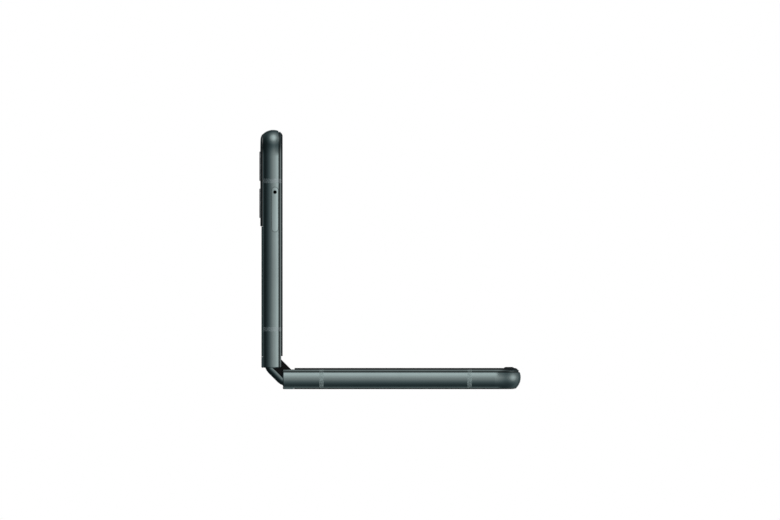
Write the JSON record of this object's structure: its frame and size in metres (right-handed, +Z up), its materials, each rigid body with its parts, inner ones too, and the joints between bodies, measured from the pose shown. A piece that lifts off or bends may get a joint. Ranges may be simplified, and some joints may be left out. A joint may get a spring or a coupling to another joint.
{
  "type": "foldable smartphone",
  "caption": "Clamshell phone with a folding screen, a geared two-axis hinge with a curved spine, a SIM tray, keys and a cover screen, shown half open.",
  "frame": {"origin": "on the resting face of the lower half's back, in the middle of its width", "axes": "+X from the hinge towards the free end of the lower half, +Y towards the side with the keys, +Z up, out of the lower screen"},
  "size_m": [0.091, 0.0725, 0.0903],
  "materials": {
    "frame_metal": "satin",
    "band_plastic": "matte",
    "back_glass": "gloss",
    "black_glass": "gloss",
    "screen": "gloss",
    "bezel_plastic": "satin",
    "bumper_rubber": "matte",
    "hinge_steel": "satin",
    "gear_brass": "satin",
    "ring_metal": "satin",
    "lens_glass": "gloss",
    "camera_body": "matte",
    "battery_foil": "satin",
    "copper": "satin",
    "board": "matte",
    "can_metal": "satin",
    "module_plastic": "matte",
    "flex": "satin",
    "flash_lens": "gloss"
  },
  "bodies": {
    "lower_half": {"lower_frame": "frame_metal", "lower_antenna_bands": "band_plastic", "lower_back_glass": "back_glass", "lower_battery": "battery_foil", "charging_coil": "copper", "usb_port": "can_metal", "lower_board": "board", "loudspeaker": "module_plastic", "vibration_motor": "can_metal", "lower_panel": "screen", "lower_bezel": "bezel_plastic", "bumpers": "bumper_rubber", "lower_screws": "hinge_steel", "lower_cover": "module_plastic", "lower_rotors": "hinge_steel", "lower_wing_plate": "hinge_steel"},
    "spine": {"spine_cover": "frame_metal", "spine_caps": "bezel_plastic", "hinge_brackets": "hinge_steel", "gear_shafts": "hinge_steel", "friction_washers": "hinge_steel", "display_fold_lower": "screen", "display_fold_upper": "screen"},
    "lower_pinions": {"lower_pinions": "gear_brass"},
    "lower_idlers": {"lower_idlers": "gear_brass"},
    "upper_idlers": {"upper_idlers": "gear_brass"},
    "upper_pinions": {"upper_pinions": "gear_brass"},
    "upper_half": {"upper_frame": "frame_metal", "upper_antenna_bands": "band_plastic", "upper_back_glass": "back_glass", "cover_glass": "black_glass", "cover_display": "screen", "camera_rings": "ring_metal", "camera_lens_covers": "lens_glass", "wide_camera": "camera_body", "ultrawide_camera": "camera_body", "flash_led": "flash_lens", "main_board": "board", "shield_cans": "can_metal", "upper_battery": "battery_foil", "earpiece": "module_plastic", "front_camera": "camera_body", "upper_panel": "screen", "upper_bezel": "bezel_plastic", "sim_socket": "can_metal", "key_flex": "flex", "upper_screws": "hinge_steel", "upper_cover": "module_plastic", "upper_rotors": "hinge_steel", "upper_wing_plate": "hinge_steel"},
    "sim_tray": {"sim_tray": "frame_metal"},
    "volume_key": {"volume_key": "frame_metal"},
    "side_key": {"side_key": "frame_metal"}
  },
  "joints": [
    {"name": "lower_hinge", "type": "hinge", "parent": "lower_half", "child": "spine", "pos_m": [-0.03995, 0, 0.00645], "axis": [0, 1, 0], "range_deg": [-45, 45.6], "deforming": ["display_fold_lower"]},
    {"name": "upper_hinge", "type": "hinge", "parent": "spine", "child": "upper_half", "pos_m": [-0.04285, 0, 0.00935], "axis": [0, 1, 0], "range_deg": [-45, 45.6], "deforming": ["display_fold_upper"]},
    {"name": "lower_pinion_spin", "type": "hinge", "parent": "spine", "child": "lower_pinions", "pos_m": [-0.04111, 0, 0.00288], "axis": [0, 1, 0], "range_deg": [-150, 150]},
    {"name": "lower_idler_spin", "type": "hinge", "parent": "spine", "child": "lower_idlers", "pos_m": [-0.04276, 0, 0.00453], "axis": [0, 1, 0], "range_deg": [-96, 96]},
    {"name": "upper_idler_spin", "type": "hinge", "parent": "spine", "child": "upper_idlers", "pos_m": [-0.04477, 0, 0.00654], "axis": [0, 1, 0], "range_deg": [-96, 96]},
    {"name": "upper_pinion_spin", "type": "hinge", "parent": "spine", "child": "upper_pinions", "pos_m": [-0.04641, 0, 0.00819], "axis": [0, 1, 0], "range_deg": [-150, 150]},
    {"name": "sim_tray_slide", "type": "slide", "parent": "upper_half", "child": "sim_tray", "axis": [0, -1, 0], "range_m": [0, 0.016]},
    {"name": "volume_key_rock", "type": "hinge", "parent": "upper_half", "child": "volume_key", "pos_m": [-0.0452, 0.0332, 0.0608], "axis": [1, 0, 0], "range_deg": [-0.9, 0.9], "stiffness_Nm_per_rad": 0.2},
    {"name": "side_key_press", "type": "slide", "parent": "upper_half", "child": "side_key", "axis": [0, -1, 0], "range_m": [0, 0.00015], "stiffness_N_per_m": 1500}
  ],
  "couplings": [
    {"joint": "upper_hinge", "follows": "lower_hinge", "ratio": 1},
    {"joint": "lower_pinion_spin", "follows": "lower_hinge", "ratio": 3.1667},
    {"joint": "lower_idler_spin", "follows": "lower_hinge", "ratio": -2},
    {"joint": "upper_idler_spin", "follows": "lower_hinge", "ratio": 2},
    {"joint": "upper_pinion_spin", "follows": "lower_hinge", "ratio": -3.1667}
  ]
}
